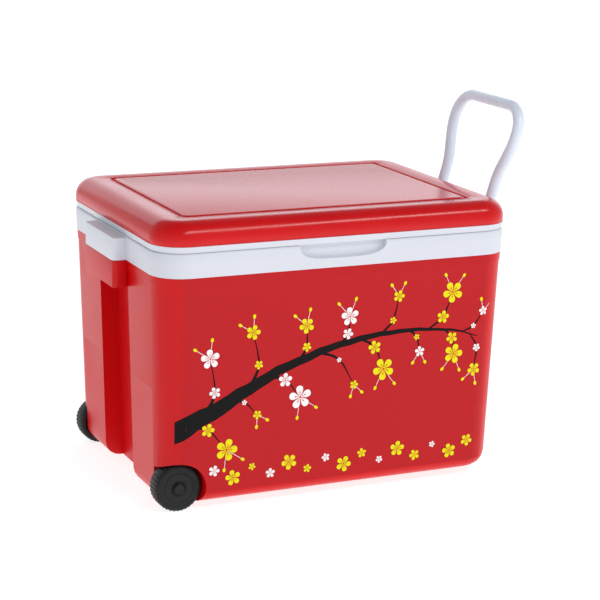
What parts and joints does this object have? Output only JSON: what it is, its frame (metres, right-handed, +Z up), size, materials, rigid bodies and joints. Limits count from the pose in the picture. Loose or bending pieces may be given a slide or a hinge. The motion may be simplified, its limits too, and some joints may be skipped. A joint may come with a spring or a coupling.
{
  "type": "wheeled cooler box",
  "caption": "Foam-filled cooler box with a rear-hinged lid, wheels under one end, feet under the other, end lift grips and a swinging tow handle.",
  "frame": {"origin": "centre of the bounding box in plan, on the floor under the wheels and feet", "axes": "+Z up; +X toward the tow handle; -Y is the decorated front, so the lid's hinges are on the +Y side"},
  "size_m": [0.6829, 0.4418, 0.5735],
  "materials": {
    "red_shell": "moulded polypropylene, soft gloss",
    "red_lid": "moulded polypropylene, soft gloss",
    "white_trim": "moulded polypropylene, satin",
    "white_liner": "food-grade polypropylene, smooth",
    "white_handle": "moulded polypropylene, smooth",
    "insulation_foam": "rigid polyurethane foam, unseen",
    "steel": "zinc plated",
    "black_wheel": "hard black plastic",
    "black_nylon": "moulded nylon",
    "black_rubber": "matte rubber"
  },
  "bodies": {
    "box": {"outer_shell": "red_shell", "body_foam": "insulation_foam", "inner_liner": "white_liner", "rim_collar": "white_trim", "hinge_pin_left": "steel", "hinge_pin_right": "steel", "handle_pivot_front": "white_handle", "handle_pivot_rear": "white_handle", "handle_spacer_front": "black_nylon", "handle_spacer_rear": "black_nylon", "hub_cap_front": "black_nylon", "hub_cap_rear": "black_nylon", "axle_front": "steel", "axle_rear": "steel", "wheel_spacer_front": "black_nylon", "wheel_spacer_rear": "black_nylon", "foot_front": "black_rubber", "foot_rear": "black_rubber", "foam_fill_plug": "red_shell", "drain_spout": "white_trim", "drain_gasket": "black_rubber", "drain_nut": "white_trim"},
    "lid": {"lid_tray": "white_trim", "lid_foam": "insulation_foam", "lid_cover": "red_lid"},
    "tow_handle": {"tow_handle": "white_handle"},
    "wheel_front": {"wheel_front": "black_wheel"},
    "wheel_rear": {"wheel_rear": "black_wheel"},
    "drain_plug": {"drain_plug": "white_trim"}
  },
  "joints": [
    {"name": "lid_hinge", "type": "hinge", "parent": "box", "child": "lid", "pos_m": [-0.0316, 0.2149, 0.396], "axis": [-1, 0, 0], "range_deg": [0, 100]},
    {"name": "tow_handle_swing", "type": "hinge", "parent": "box", "child": "tow_handle", "pos_m": [0.2769, -0.0064, 0.369], "axis": [0, 1, 0], "range_deg": [-15.9, 164.1]},
    {"name": "wheel_front_spin", "type": "hinge", "parent": "box", "child": "wheel_front", "pos_m": [-0.2826, -0.1844, 0.0365], "axis": [0, 1, 0], "continuous": true},
    {"name": "wheel_rear_spin", "type": "hinge", "parent": "box", "child": "wheel_rear", "pos_m": [-0.2826, 0.1716, 0.0365], "axis": [0, 1, 0], "continuous": true},
    {"name": "drain_plug_pull", "type": "slide", "parent": "box", "child": "drain_plug", "axis": [0.9996, 0, -0.029], "range_m": [0, 0.025]}
  ]
}
